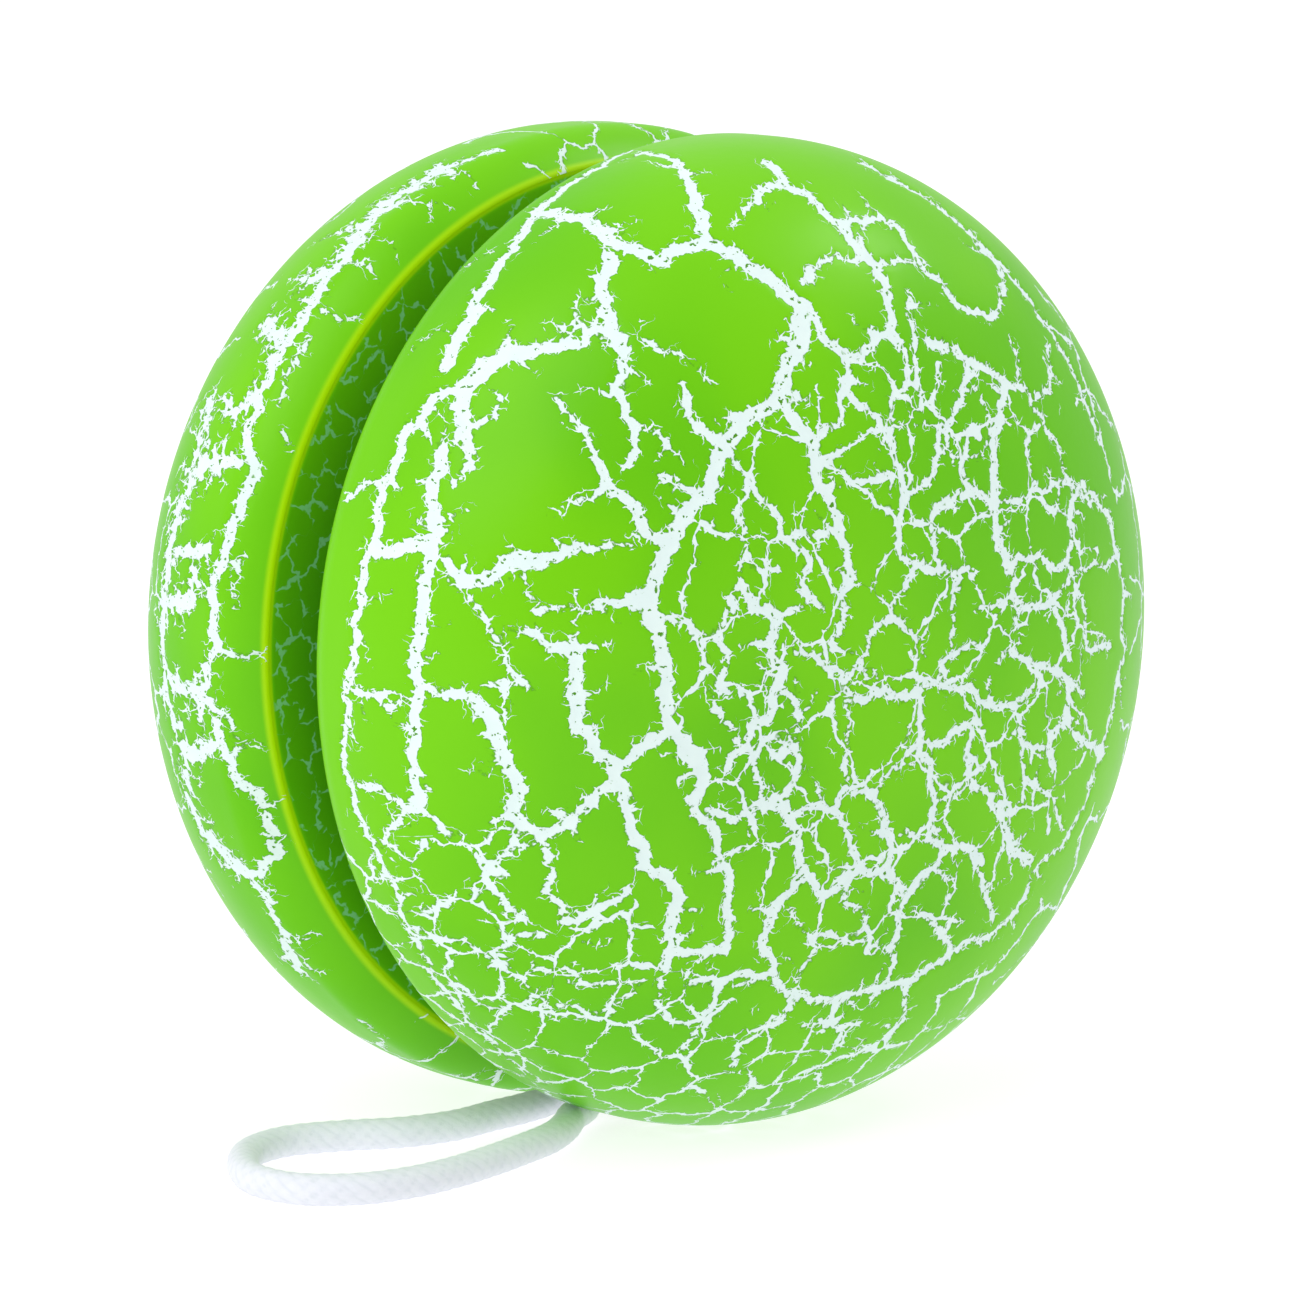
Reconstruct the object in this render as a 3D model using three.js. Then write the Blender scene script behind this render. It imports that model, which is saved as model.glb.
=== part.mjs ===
// A small turned wooden yo-yo: two domed halves glued onto one dowel, and a braided cord that loops
// round the dowel, is wound up in the groove between the halves and ends in a knotted finger loop.
//
// Millimetres. +Y is the spin axis, +Z is up and the origin is the middle of the dowel. The front
// half is on the -Y side. The yo-yo stands on the two rims, and its finger loop lies on the floor.

import * as THREE from 'three';

// Halves. A station is a distance along the spin axis from the middle of the groove.
const OUTER_RADIUS = 25;
const POLE_STATION = 20;
const LAND_STATION = 4.5; // where the narrow land at the widest circle starts
const LAND_WIDTH = 1.2;
const LIP_RADIUS = 23.15; // the edge between the rounded rim and the flat inner face
const HALF_GAP = 2.15; // station of the inner face
const RIM_POWER = 1.8; // how the rim curls in from the land to the lip
const DOME_ACROSS_POWER = 2.4; // the two powers of the dome's superellipse
const DOME_ALONG_POWER = 2.1;
const RIM_STEPS = 4;
const DOME_STEPS = 14;
const ROUND_STEPS = 48; // flats round each turned piece

// Dowel, glued into a blind bore in each half
const DOWEL_RADIUS = 4;
const DOWEL_CHAMFER = 0.6;
const GLUE_GAP = 0.2;
const BORE_DEPTH = 12;
const DRILL_POINT_DEPTH = 1.6;

// Cord, and the clearance that neighbouring pieces keep
const CORD_DIAMETER = 1.6;
const CORD_RADIUS = CORD_DIAMETER / 2;
const CORD_SIDES = 8;
const CLEARANCE = 0.3;

// Winding: layers of two turns side by side
const LAYER_COUNT = 6;
const LAYER_PITCH = 1.35;
const TURN_SPACING = 1.7;
const AXLE_LOOP_RADIUS = DOWEL_RADIUS + CLEARANCE + CORD_RADIUS;
const WINDING_INNER_RADIUS = AXLE_LOOP_RADIUS + CORD_RADIUS + CLEARANCE;
const LAST_TURN_RADIUS = WINDING_INNER_RADIUS + CORD_RADIUS + (LAYER_COUNT - 1) * LAYER_PITCH;
const WINDING_OUTER_RADIUS = LAST_TURN_RADIUS + CORD_RADIUS;
const WINDING_HALF_WIDTH = (TURN_SPACING + CORD_DIAMETER) / 2;
const WINDING_CHAMFER = 0.6;

// Knot that closes the finger loop, in the groove straight below the winding
const KNOT_CENTRE = new THREE.Vector3(-1.4, 0, -19.6);
const KNOT_HALF_LENGTH = 2.6;
const KNOT_HALF_WIDTH = 1.75;
const KNOT_HALF_HEIGHT = 2.1;
const KNOT_STEPS_ROUND = 16;
const KNOT_STEPS_ALONG = 10;

// The finger loop leaves the knot on its rear side, lies round on the floor and comes back on its
// front side. FLOOR is the height of the cord's middle where it lies on the floor.
const FLOOR = CORD_RADIUS - OUTER_RADIUS;
const LOOP_ROUTE = [
  [-3.7, 0.85, -21.9],
  [-4.8, 0.75, -23.2],
  [-6.5, 0.4, -24.05],
  [-8.6, 0.0, FLOOR],
  [-11.0, -0.4, FLOOR],
  [-14.0, -1.0, FLOOR],
  [-17.0, -0.6, FLOOR],
  [-20.0, 0.8, FLOOR],
  [-22.9, 1.5, FLOOR],
  [-25.8, 0.5, FLOOR],
  [-28.1, -1.9, FLOOR],
  [-29.5, -4.7, FLOOR],
  [-29.2, -7.6, FLOOR],
  [-27.1, -9.5, FLOOR],
  [-24.1, -10.0, FLOOR],
  [-21.1, -9.6, FLOOR],
  [-18.0, -8.7, FLOOR],
  [-15.0, -7.6, FLOOR],
  [-12.2, -6.4, FLOOR],
  [-9.9, -4.8, FLOOR],
  [-8.1, -3.2, FLOOR],
  [-6.3, -2.1, -24.1],
  [-4.7, -1.35, -23.2],
  [-3.7, -0.85, -21.9],
];
const LOOP_STEPS = 30;

const greenPaint = new THREE.MeshStandardMaterial({ color: 0x78c81e, roughness: 0.35, metalness: 0 });
const bareWood = new THREE.MeshStandardMaterial({ color: 0xd9b887, roughness: 0.7, metalness: 0 });
const whiteCord = new THREE.MeshStandardMaterial({ color: 0xeceff8, roughness: 0.9, metalness: 0 });

// Turns a profile of [radius, station] points round +Y. The radii are let out a little, so that
// the middle of each flat lies on the true circle and one flat faces straight down.
function turned(profile) {
  const letOut = 1 / Math.cos(Math.PI / ROUND_STEPS);
  const points = profile.map(([radius, station]) => new THREE.Vector2(radius * letOut, station));
  return new THREE.LatheGeometry(points, ROUND_STEPS, Math.PI / ROUND_STEPS);
}

// The round section of the cord.
function cordSection() {
  const section = new THREE.Shape();
  section.absarc(0, 0, CORD_RADIUS, 0, 2 * Math.PI);
  return new THREE.Shape(section.getSpacedPoints(CORD_SIDES).slice(0, CORD_SIDES));
}

function cordAlong(path, steps) {
  return new THREE.ExtrudeGeometry(cordSection(), { extrudePath: path, steps });
}

// A half, with its dome towards +Y: blind bore, flat inner face, lip, rim, land and dome.
function halfProfile() {
  const boreRadius = DOWEL_RADIUS + GLUE_GAP;
  const boreStation = HALF_GAP + BORE_DEPTH;
  const profile = [
    [0, boreStation + DRILL_POINT_DEPTH],
    [boreRadius, boreStation],
    [boreRadius, HALF_GAP],
  ];
  for (let step = 0; step <= RIM_STEPS; step += 1) {
    const fromLand = 1 - step / RIM_STEPS;
    const radius = OUTER_RADIUS - (OUTER_RADIUS - LIP_RADIUS) * fromLand ** RIM_POWER;
    profile.push([radius, LAND_STATION - (LAND_STATION - HALF_GAP) * fromLand]);
  }
  const domeStation = LAND_STATION + LAND_WIDTH;
  for (let step = 0; step < DOME_STEPS; step += 1) {
    const angle = (step / DOME_STEPS) * (Math.PI / 2);
    const radius = OUTER_RADIUS * Math.cos(angle) ** (2 / DOME_ACROSS_POWER);
    const rise = (POLE_STATION - domeStation) * Math.sin(angle) ** (2 / DOME_ALONG_POWER);
    profile.push([radius, domeStation + rise]);
  }
  profile.push([0, POLE_STATION]);
  return profile;
}

function dowelProfile() {
  const end = HALF_GAP + BORE_DEPTH - GLUE_GAP;
  return [
    [0, -end],
    [DOWEL_RADIUS - DOWEL_CHAMFER, -end],
    [DOWEL_RADIUS, -end + DOWEL_CHAMFER],
    [DOWEL_RADIUS, end - DOWEL_CHAMFER],
    [DOWEL_RADIUS - DOWEL_CHAMFER, end],
    [0, end],
  ];
}

// One turn of the cord, loose round the dowel.
function axleLoopProfile() {
  const profile = [];
  for (let side = 0; side <= CORD_SIDES; side += 1) {
    const angle = ((side % CORD_SIDES) / CORD_SIDES) * 2 * Math.PI;
    profile.push([AXLE_LOOP_RADIUS + CORD_RADIUS * Math.cos(angle), CORD_RADIUS * Math.sin(angle)]);
  }
  return profile;
}

// The outer shape of the wound cord: a ring with broken corners.
function windingProfile() {
  const inner = WINDING_INNER_RADIUS;
  const outer = WINDING_OUTER_RADIUS;
  const side = WINDING_HALF_WIDTH;
  return [
    [inner, -side],
    [outer - WINDING_CHAMFER, -side],
    [outer, -side + WINDING_CHAMFER],
    [outer, side - WINDING_CHAMFER],
    [outer - WINDING_CHAMFER, side],
    [inner, side],
    [inner, -side],
  ];
}

// The straight stretch from the winding down to the knot. It runs along the tangent from the knot
// to the last turn, and starts where its own side is clear of the winding.
function leadEnds() {
  const knotDistance = KNOT_CENTRE.length();
  const knotAngle = Math.atan2(KNOT_CENTRE.z, KNOT_CENTRE.x);
  const tangentAngle = knotAngle + Math.acos(LAST_TURN_RADIUS / knotDistance);
  const tangentPoint = new THREE.Vector3(Math.cos(tangentAngle), 0, Math.sin(tangentAngle));
  tangentPoint.multiplyScalar(LAST_TURN_RADIUS);
  const direction = KNOT_CENTRE.clone().sub(tangentPoint).normalize();
  const clearRadius = WINDING_OUTER_RADIUS + CLEARANCE + CORD_RADIUS;
  const clearDistance = Math.sqrt(clearRadius ** 2 - LAST_TURN_RADIUS ** 2);
  const start = tangentPoint.addScaledVector(direction, clearDistance);
  const end = KNOT_CENTRE.clone().addScaledVector(direction, -KNOT_HALF_LENGTH - CLEARANCE);
  return { start, end, direction };
}

function finish(name, geometry, material) {
  const mesh = new THREE.Mesh(geometry, material);
  mesh.name = name;
  return mesh;
}

const lead = leadEnds();
const yoyo = new THREE.Group();

const rearHalf = finish('rear_half', turned(halfProfile()), greenPaint);
const frontHalf = finish('front_half', turned(halfProfile()), greenPaint);
frontHalf.rotation.x = Math.PI;
yoyo.add(rearHalf, frontHalf);

yoyo.add(finish('axle_dowel', turned(dowelProfile()), bareWood));
yoyo.add(finish('axle_loop', turned(axleLoopProfile()), whiteCord));
yoyo.add(finish('string_winding', turned(windingProfile()), whiteCord));
yoyo.add(finish('string_lead', cordAlong(new THREE.LineCurve3(lead.start, lead.end), 1), whiteCord));

const knotShape = new THREE.SphereGeometry(1, KNOT_STEPS_ROUND, KNOT_STEPS_ALONG);
knotShape.scale(KNOT_HALF_LENGTH, KNOT_HALF_WIDTH, KNOT_HALF_HEIGHT);
const knot = finish('loop_knot', knotShape, whiteCord);
knot.position.copy(KNOT_CENTRE);
knot.quaternion.setFromUnitVectors(new THREE.Vector3(-1, 0, 0), lead.direction);
yoyo.add(knot);

const loopPath = new THREE.CatmullRomCurve3(LOOP_ROUTE.map((point) => new THREE.Vector3(...point)));
yoyo.add(finish('finger_loop', cordAlong(loopPath, LOOP_STEPS), whiteCord));

export default yoyo;
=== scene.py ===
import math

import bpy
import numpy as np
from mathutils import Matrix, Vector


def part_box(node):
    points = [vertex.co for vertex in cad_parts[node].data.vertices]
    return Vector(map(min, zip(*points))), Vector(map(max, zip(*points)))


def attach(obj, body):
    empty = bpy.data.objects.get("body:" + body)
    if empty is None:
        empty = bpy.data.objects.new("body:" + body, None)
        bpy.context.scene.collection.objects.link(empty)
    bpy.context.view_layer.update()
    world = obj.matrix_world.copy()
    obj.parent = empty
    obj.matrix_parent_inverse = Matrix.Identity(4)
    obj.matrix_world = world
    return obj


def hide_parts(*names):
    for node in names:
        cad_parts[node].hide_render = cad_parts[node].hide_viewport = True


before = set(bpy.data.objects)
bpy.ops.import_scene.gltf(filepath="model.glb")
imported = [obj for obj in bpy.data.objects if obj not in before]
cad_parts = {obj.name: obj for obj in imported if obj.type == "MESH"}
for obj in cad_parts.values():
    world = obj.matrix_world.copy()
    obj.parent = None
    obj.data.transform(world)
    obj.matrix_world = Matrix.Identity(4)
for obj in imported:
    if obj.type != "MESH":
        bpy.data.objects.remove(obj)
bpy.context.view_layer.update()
# A turned wooden yo-yo in green crackle paint over white, with a braided white string.
#
# Metres, +Y is the spin axis, +Z is up. A crack's place on a half is a bearing in degrees,
# clockwise from the top as seen from the front, and a reach, the distance in millimetres along
# the surface from the middle of the dome. The lip is at a reach of about 36.

MM = 0.001
DEGREE = math.pi / 180
FULL_TURN = 2 * math.pi

# The halves. A station is a distance along the spin axis from the middle of the groove.
HALF_LOW, HALF_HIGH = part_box("rear_half")
OUTER_RADIUS = (HALF_HIGH[0] - HALF_LOW[0]) / 2
HALF_GAP = HALF_LOW[1]
POLE_STATION = HALF_HIGH[1]
LAND_STATION = 4.5 * MM
LAND_WIDTH = 1.2 * MM
LIP_RADIUS = 23.15 * MM
LIP_ROUNDING = 0.2 * MM
LIP_BREAK = (0.06 * MM, 0.02 * MM)  # radius and station by which the first inner ring leaves the lip
RIM_POWER = 1.8
DOME_ACROSS_POWER = 2.4
DOME_ALONG_POWER = 2.1
BORE_RADIUS = 4.2 * MM
BORE_DEPTH = 12 * MM
DRILL_POINT_DEPTH = 1.6 * MM
DOME_SAMPLES = 4000  # points that measure the dome's outline
RIM_SAMPLES = 200
RINGS = 144  # rows of vertices from the pole to the lip
SEGMENTS = 600  # vertices round each row
FACE_RINGS = 12
BORE_RINGS = 5
EDGE_DISTANCE = 1 * MM  # from the lip and from the mouth of the bore to the next ring
PAINT_THICKNESS = 0.07 * MM
SINK_TOWARDS = 8.0  # station, in millimetres, of the point towards which torn places sink
TORN_EDGE = (-0.12, 0.06)  # gaps, in millimetres, between which the skin sinks

# The string
CORD_DIAMETER = 1.6 * MM
CORD_RADIUS = CORD_DIAMETER / 2
CORD_SIDES = 30
STRANDS = 6  # strands that run each way round the braid
BRAID_PITCH = 1.7 * MM  # length in which a strand moves on by two of its widths
BRAID_RELIEF = 0.06 * MM
FLOOR = -OUTER_RADIUS
LYING = FLOOR + CORD_RADIUS  # height of the cord's middle where it lies on the floor
AXLE_TURN_RADIUS = 5.1 * MM
FIRST_LAYER_RADIUS = 7.0 * MM
LAYER_PITCH = 1.35 * MM
LAYER_COUNT = 6  # layers of two turns
TURN_SPACING = 1.7 * MM
POINTS_IN_TURN = 72
CHANGE_OF_TURN = 0.2  # the part of a turn in which the cord moves over to its next place
WOUND_STEP = 0.45 * MM  # between the rings of the wound cord
FREE_STEP = 0.2 * MM
POINTS_IN_SPAN = 12  # points that measure the line between two corners
KNOT_CENTRE = Vector((-1.4, 0, -19.6)) * MM
KNOT_HALF_SIZES = (2.6 * MM, 1.75 * MM, 2.1 * MM)
KNOT_CORD_RADIUS = 0.9 * CORD_RADIUS
KNOT_POINTS = 240
KNOT_SIDES = 20
TREFOIL_REACH = (2.7, 1.0, 2.7)  # how far the plain trefoil reaches from its middle
LOOP_ROUTE = [
    (-0.0037, 0.00085, -0.0219),
    (-0.0048, 0.00075, -0.0232),
    (-0.0065, 0.0004, -0.02405),
    (-0.0086, 0.0, LYING),
    (-0.0110, -0.0004, LYING),
    (-0.0140, -0.0010, LYING),
    (-0.0170, -0.0006, LYING),
    (-0.0200, 0.0008, LYING),
    (-0.0229, 0.0015, LYING),
    (-0.0258, 0.0005, LYING),
    (-0.0281, -0.0019, LYING),
    (-0.0295, -0.0047, LYING),
    (-0.0292, -0.0076, LYING),
    (-0.0271, -0.0095, LYING),
    (-0.0241, -0.0100, LYING),
    (-0.0211, -0.0096, LYING),
    (-0.0180, -0.0087, LYING),
    (-0.0150, -0.0076, LYING),
    (-0.0122, -0.0064, LYING),
    (-0.0099, -0.0048, LYING),
    (-0.0081, -0.0032, LYING),
    (-0.0063, -0.0021, -0.0241),
    (-0.0047, -0.00135, -0.0232),
    (-0.0037, -0.00085, -0.0219),
]
STRING_NODES = ("axle_loop", "string_winding", "string_lead", "finger_loop")

# The main cracks, in millimetres: the crack's widths from its start to its end, spread evenly along
# it, and its (bearing, reach) points.
FRONT_CRACKS = [
    # the top left rim and the crack that runs down from it
    ((0.5, 1.3), [(348, 33.5), (338, 33), (331, 32.3), (323, 31.3), (316, 30.8), (307, 30.2)]),
    ((1.0, 1.3), [(331, 32.3), (331, 28.8), (330.5, 26.8), (332, 24.5), (335, 24.3), (339, 24),
        (341, 22.8), (342.5, 21)]),
    ((1.2, 0.6), [(328.5, 26.4), (324, 25.4), (321.5, 24.6), (319.5, 23), (317, 22), (313.5, 21.7),
        (311.5, 21), (310, 20.2), (307, 19.6), (304.5, 19.6)]),
    ((0.6, 0.2), [(321, 22), (322, 21), (323, 20), (324, 18.8), (323.5, 18)]),
    ((0.5, 0.2), [(310, 20), (311, 18.8), (310, 17.8), (309.5, 17)]),
    ((0.6, 1.7, 0.5), [(320, 24), (316, 24.5), (314, 25.3), (312, 26.5), (311.5, 27.4), (309.5, 27.9),
        (306.5, 28.3), (303, 28), (300.5, 27.3), (297, 26.6), (294, 26.9)]),
    ((0.8, 0.1), [(301, 26.8), (303.5, 26.5), (306, 26)]),
    ((0.4, 0.2), [(309, 33), (311, 32), (312, 30.9)]),
    ((0.4, 0.2), [(321, 33.5), (323, 32.3)]),
    # the long crack that bounds the large plates on the right, and its branches into them
    ((1.3, 1.3, 1.2, 1.0), [(342.5, 21), (344.5, 19.8), (345, 18.8), (342, 17.3), (337, 16.5),
        (331, 15.8), (322, 16), (318, 15.8), (311, 15.4), (305, 15.5), (298, 15.8), (292, 16.2),
        (287, 16.3), (283, 15.6), (278, 15.2), (270, 14.9), (262, 15), (259, 14.2), (255, 13.6),
        (250, 13.7), (246, 14.3)]),
    ((0.9, 0.3), [(286, 16.5), (284, 17.5), (283.5, 18.6), (281, 19.7)]),
    ((0.4, 1.1), [(308.5, 24.1), (307, 23), (304, 21.3), (301.5, 20.5), (300, 19.9), (299, 18.5),
        (297, 17.3), (296.5, 16)]),
    ((0.7, 0.2), [(300, 20), (297, 21), (294, 22)]),
    ((0.2, 0.8), [(316, 26.5), (317.5, 25.5), (319, 24.3), (320.5, 23)]),
    ((0.5, 0.9), [(320.5, 19.3), (318, 18.3), (316, 17.3), (317, 16)]),
    ((0.3, 0.5), [(305, 18), (305.5, 16.8), (306, 16)]),
    # the left rim and the cracks beside it
    ((0.9, 0.8, 0.5, 0.4), [(305, 28.9), (300.5, 30.4), (293, 30.7), (284, 30.8), (277, 30.9),
        (271, 31.2), (266, 31.6), (259, 32), (254, 31.6), (250, 31), (243, 30.8), (239, 31), (234, 31),
        (229.5, 31), (224, 31.2), (218, 31), (211, 31)]),
    ((1.2, 0.9), [(297, 28.2), (292, 27.7), (288, 27), (284, 27.3), (278, 27.2), (271, 27.3), (263, 27.4),
        (257, 27.9)]),
    ((1.1, 1.1), [(285, 30.5), (285.5, 28.9), (287, 27.6)]),
    ((0.8, 1.2, 0.3), [(285, 26.3), (283, 25), (284.5, 23.9), (287, 23.2), (288, 22), (289, 20.8),
        (291.5, 19.2), (293, 17.6)]),
    ((0.4, 0.2), [(285.5, 22.8), (283, 22.2), (281, 21.6), (278.5, 21.3)]),
    ((0.4, 0.6), [(282, 24.8), (279, 24.2), (276.5, 23.3), (273.5, 22.7), (271.8, 22.3), (270.5, 23.7)]),
    ((0.6, 0.3), [(271.8, 22.3), (270.5, 21.3)]),
    ((0.6, 0.6), [(268.8, 31), (268.3, 29.2), (267.8, 27.6)]),
    ((0.6, 0.6), [(290, 33.3), (292, 32.2), (292, 31.2)]),
    # the lower left
    ((0.6, 1.2, 1.0), [(270, 27.2), (269.7, 25.5), (268.5, 24.2), (266.5, 23.6), (263.5, 22.9),
        (260.5, 22.9), (257.5, 22.9), (254, 22.8), (252, 22.6)]),
    ((0.4, 0.2), [(260, 23.5), (260, 25)]),
    ((0.3, 1.0, 0.3), [(278, 22.9), (277.3, 21.8), (276.3, 20.6), (276, 19.5), (276.3, 18.5),
        (277.7, 17.8)]),
    ((0.2, 0.5), [(284.5, 19.6), (280, 19.7), (276, 19.7)]),
    ((1.2, 0.9, 1.1), [(276, 19.6), (272.6, 19.5), (268.5, 19.5), (264.7, 19.3), (261, 18.4), (258, 17.9),
        (254, 17.6), (249.5, 17.6), (244, 17.8), (236.5, 17.5), (231, 17.4), (227, 18.3), (222.5, 19.8)]),
    ((0.8, 0.8), [(257.5, 17.6), (259, 16.5), (260, 15.6), (261.5, 14.9)]),
    ((0.9, 0.6), [(254.5, 18), (253.5, 19), (251, 20.3), (250, 21.6), (251, 22.8), (249.5, 23.8),
        (247.5, 25), (245.5, 25.2), (242, 24.9), (239, 24.6)]),
    ((0.5, 0.3), [(245, 25.3), (244.5, 26.5)]),
    ((0.5, 0.8), [(250.5, 21.9), (245.5, 22.2), (243.5, 22.8), (240.5, 22.7), (236.5, 22.7), (236, 21.3),
        (236.5, 20), (237.5, 19.2)]),
    ((0.6, 0.5), [(236, 24), (237, 25), (236, 26.3), (233.5, 27.2)]),
    ((0.5, 0.3), [(233, 22.2), (230.8, 21)]),
    ((0.7, 0.6), [(256.5, 28), (253.5, 29.3), (251.5, 30.5)]),
    ((0.7, 0.5), [(256, 27.5), (253, 26.8), (252, 25.8)]),
    ((0.6, 0.6), [(258.7, 31.8), (258, 30), (257, 28.6)]),
    # the bottom left
    ((0.5, 0.4), [(243, 29.8), (242.5, 28.5), (244.5, 27)]),
    ((0.5, 0.5), [(239.8, 30.6), (238.5, 28.5), (238, 27.8), (235.5, 27), (233.5, 27), (231.5, 26.2),
        (228.5, 26), (226, 26), (223.5, 26.2)]),
    ((0.5, 0.5), [(232, 30.3), (231.5, 29.7), (228, 29.2), (227, 27.8), (228, 26.5)]),
    ((0.5, 0.4), [(232.8, 25), (231, 25), (230, 23.5), (227, 23.8), (225, 22.3), (222, 21.2)]),
    ((0.5, 0.5), [(225.5, 25.4), (222, 24.6), (221.5, 23.2), (222, 21.8)]),
    ((0.6, 0.5), [(222.5, 20), (217, 21.8), (213, 21.9), (210, 21.2), (210.5, 20.2)]),
    ((0.8, 0.7), [(244.5, 14.6), (239, 14.2), (233.5, 14.6), (228.5, 14.8), (223.5, 15.4), (219.5, 16.4),
        (216.5, 17.3), (219.5, 18.1), (223, 18.8)]),
    # the top right
    ((0.5, 1.3), [(348, 32.5), (348, 31), (347, 29.5), (344.5, 27.5), (342, 25.8), (340, 24.6)]),
    ((0.3, 1.0), [(343.5, 24), (347.5, 24.6), (352, 25.3), (356, 25.6)]),
    ((1.0, 0.9, 0.8), [(357, 27.3), (356, 25.6), (358, 24.6), (358.5, 23.6), (0, 22.2), (1, 20.9),
        (3, 19.8), (3, 18.6), (2, 17.2), (1, 16.2), (357, 16), (351, 15.4), (346, 16.8), (346.5, 17.8),
        (346, 19)]),
    ((0.6, 0.6), [(348, 19.8), (351, 20.5), (356, 20.8), (0, 20.4)]),
    ((0.7, 0.6), [(1, 22.4), (5.5, 23), (10, 22.8), (11.5, 21.2), (13, 20.2), (16.5, 19.4), (18, 18.4),
        (24, 18.6), (28, 18.6), (30.5, 20.8), (31, 22.3), (28, 23.6)]),
    ((0.6, 0.5), [(3, 19.8), (8.5, 20.2), (13, 20.2)]),
    ((0.5, 0.5), [(8, 18.6), (7, 17.2), (7, 15.8), (5, 14.6), (5, 12.5)]),
    ((0.9, 0.4), [(10, 16), (15, 15.9), (20.5, 15.4), (27, 15.5), (33, 15.6), (39, 16), (43, 17.3),
        (41, 19.9)]),
    ((0.5, 0.5), [(39, 15.8), (43.5, 15.3), (49, 15.1), (54, 14.6), (61, 14.6), (66, 16)]),
    # the right edge and the bottom
    ((0.6, 0.6), [(12, 27.5), (20, 25.8), (29, 23.5), (38, 22), (50, 20.3), (60, 19.2)]),
    ((0.6, 0.6), [(60, 15.5), (70, 17), (83, 17.4), (94, 17.5), (101, 17.2), (110, 17), (118, 17),
        (125, 17.3), (132, 17), (139, 15.8)]),
    ((0.7, 0.7), [(209, 15.9), (205, 17), (201, 17.7), (195, 17.6), (190, 17.5), (181.5, 17.2),
        (173.5, 17), (167, 16.7), (160, 16.6), (154, 17), (147, 17.6), (141.5, 16.8)]),
    # above and left of the pole
    ((1.1, 0.9, 0.6), [(331, 15.3), (332, 14), (333, 12.8), (328, 11), (329, 10), (326, 9), (325, 7.7),
        (320, 6.9), (315, 6.2), (307, 6.2), (297, 5.7), (289, 5.8), (281, 5.8)]),
    ((0.6, 0.6), [(333.5, 12.8), (338, 12.8), (342, 13.2), (345, 13.9), (346, 14.8)]),
    ((0.7, 0.7, 0.6), [(345.5, 13.9), (350, 12.6), (354, 11.2), (355, 10), (355, 8.6), (352, 7),
        (350, 5.8), (354, 5), (2, 4.6), (17, 4.6), (35, 5.2), (43, 5.6)]),
    ((0.6, 0.5), [(331, 10.4), (338, 9.9), (346, 9.6), (352, 9.3)]),
    ((0.6, 0.5), [(316.5, 15.3), (316, 13.9), (314, 12.9), (312, 11.7), (310, 10.5), (318, 9),
        (324, 8.2)]),
    ((0.5, 0.4), [(307, 13.6), (306, 12.9), (302, 12.2), (300, 11.5), (303, 10.3)]),
    ((0.5, 1.0, 0.8), [(300, 11.8), (298.5, 12), (292.5, 11.8), (289, 10.6), (287.5, 9.5), (281, 9.1),
        (272.5, 8.7), (268, 8.9), (262, 9.4), (257, 10), (254, 11.2), (250, 12.4)]),
    ((0.6, 0.5), [(287.5, 9.5), (293, 8.6), (297, 8), (298, 7)]),
    ((0.6, 0.5), [(297, 8), (302.5, 8.5), (309, 8.8), (310, 10)]),
    ((0.5, 0.6), [(292.5, 11.8), (286, 12.2), (280, 12.4), (277, 12), (270, 12), (264, 12.6), (259, 11.6),
        (255, 11.6)]),
    ((0.5, 0.5), [(280, 12.4), (281, 13.8), (283, 15.2)]),
    ((0.5, 0.5), [(268, 8.9), (262, 8), (256, 7.8), (250, 8.4), (246, 9.4)]),
    # round the pole
    ((0.5, 0.8, 0.5), [(280, 8), (277, 7), (274.5, 6.2), (270.5, 5.3), (264.5, 5), (257, 4.6), (246, 3.9),
        (237, 2.4), (209, 1.6), (180, 1.4), (130, 1.6), (94, 1.5), (86, 2.5), (83, 3.8), (88, 4.4)]),
    ((0.6, 0.3), [(332, 2.6), (350, 1.1), (20, 0.2)]),
    ((0.3, 0.4), [(15, 1.9), (352, 1.1)]),
    ((0.6, 0.5), [(353, 4.7), (345, 3.9), (329, 3.5), (317, 3.1), (296, 3.7), (283, 3.5), (272, 4.1)]),
    ((0.6, 0.7), [(180, 1.4), (180, 3), (179, 4.3), (162, 4.6), (148, 4.6), (134, 4.9), (130, 5.5)]),
    ((0.6, 0.6), [(133, 1.9), (123, 2.9), (113, 4), (121, 4.8), (117, 6.3), (113, 7.4), (106, 8.3)]),
    ((0.5, 0.4), [(35, 5.2), (38, 4), (45, 3), (62, 2.4), (80, 2.2)]),
    ((0.4, 0.5), [(62, 4.4), (66, 5.2), (66, 6.3), (72, 7), (83, 7.1), (92, 6.4), (97, 5.6)]),
    # right of the pole
    ((0.8, 1.0, 0.6), [(31.5, 15.4), (30, 14.2), (30, 13), (29, 12.4), (33, 11.2), (35, 10.2), (36, 9.2),
        (42, 8.4), (48, 7.7), (55, 7.5), (62, 7.5), (67, 7), (73, 7.8)]),
    ((0.8, 0.5), [(36, 9.2), (25.5, 9), (18, 8.2), (11, 7.8), (9, 6.8), (13, 5.4), (17, 4.6)]),
    ((0.4, 0.5), [(25.5, 9), (22, 9.8), (20, 10.5), (27, 11)]),
    ((0.7, 0.6), [(20, 15.2), (19.5, 14), (18, 13.2), (15, 12.2), (11.5, 11.5), (11, 10.4), (9, 9.3),
        (6, 8.6), (358, 8.5), (354, 8.3)]),
    ((0.5, 0.5), [(11, 10.4), (20, 10.5)]),
    ((0.7, 0.5), [(2, 16), (4, 14.9), (3.5, 13.8), (357.5, 13), (355.5, 12.2), (355, 11)]),
    ((0.7, 0.6), [(349, 15.5), (348, 14.4), (346.5, 13.8)]),
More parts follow.
